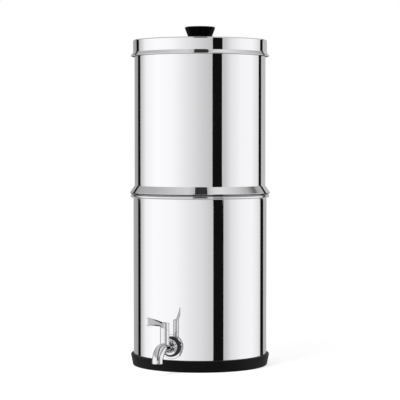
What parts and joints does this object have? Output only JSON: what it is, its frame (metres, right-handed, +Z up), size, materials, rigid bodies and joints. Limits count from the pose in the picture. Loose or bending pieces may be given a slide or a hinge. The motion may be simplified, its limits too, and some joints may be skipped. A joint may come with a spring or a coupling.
{
  "type": "gravity water filter with tap",
  "caption": "Stacked polished-steel gravity water filter: lift-off lid with black knob, nested upper chamber with filter elements, and a lever tap above the rubber base ring.",
  "frame": {"origin": "centre of the base ring's underside, on the vertical axis of the chambers", "axes": "+Z up along the axis of the chambers; the tap and its closed lever point along -Y; +X completes the right-handed set"},
  "size_m": [0.2272, 0.3066, 0.5478],
  "materials": {
    "shell_steel": "mirror-polished stainless steel",
    "tap_steel": "polished stainless steel",
    "fastener_steel": "plain machined stainless steel",
    "guide_brass": "turned brass",
    "base_rubber": "moulded black rubber, satin",
    "seal_rubber": "moulded black rubber",
    "knob_plastic": "glossy black moulding",
    "cap_plastic": "white moulding, satin",
    "filter_carbon": "pressed carbon block, matt and granular"
  },
  "bodies": {
    "lower_unit": {"base_ring": "base_rubber", "lower_chamber": "shell_steel", "tap_body": "tap_steel", "tap_disc": "tap_steel", "tap_outer_gasket": "seal_rubber", "tap_inner_gasket": "seal_rubber", "tap_inner_washer": "fastener_steel", "tap_lock_nut": "fastener_steel", "stem_guide": "guide_brass", "stem_seal": "seal_rubber", "valve_spring": "fastener_steel"},
    "valve": {"valve_stem": "fastener_steel", "valve_plug": "seal_rubber", "handle_screw": "fastener_steel"},
    "lever": {"tap_handle": "tap_steel"},
    "upper_unit": {"upper_chamber": "shell_steel", "support_collar": "shell_steel", "left_filter_block": "filter_carbon", "left_top_cap": "cap_plastic", "left_base_cap": "cap_plastic", "left_gasket": "seal_rubber", "left_wing_nut": "cap_plastic", "right_filter_block": "filter_carbon", "right_top_cap": "cap_plastic", "right_base_cap": "cap_plastic", "right_gasket": "seal_rubber", "right_wing_nut": "cap_plastic", "hole_plugs": "cap_plastic", "plug_gaskets": "seal_rubber", "plug_nuts": "cap_plastic"},
    "lid_unit": {"lid": "shell_steel", "lid_knob": "knob_plastic", "knob_screw": "fastener_steel", "knob_washer": "fastener_steel"}
  },
  "joints": [
    {"name": "upper_lift", "type": "slide", "parent": "lower_unit", "child": "upper_unit", "axis": [0, 0, 1], "range_m": [0, 0.09]},
    {"name": "lid_lift", "type": "slide", "parent": "upper_unit", "child": "lid_unit", "axis": [0, 0, 1], "range_m": [0, 0.12]},
    {"name": "stem_lift", "type": "slide", "parent": "lower_unit", "child": "valve", "axis": [0, 0, 1], "range_m": [0, 0.01065], "stiffness_N_per_m": 200, "springref_m": -0.004, "deforming": ["valve_spring"]},
    {"name": "lever_turn", "type": "hinge", "parent": "valve", "child": "lever", "pos_m": [0, -0.1325, 0.0725], "axis": [0, 0, 1], "range_deg": [0, 90]}
  ],
  "couplings": [
    {"joint": "lever_turn", "follows": "stem_lift", "rad_per_m": 147.49}
  ]
}
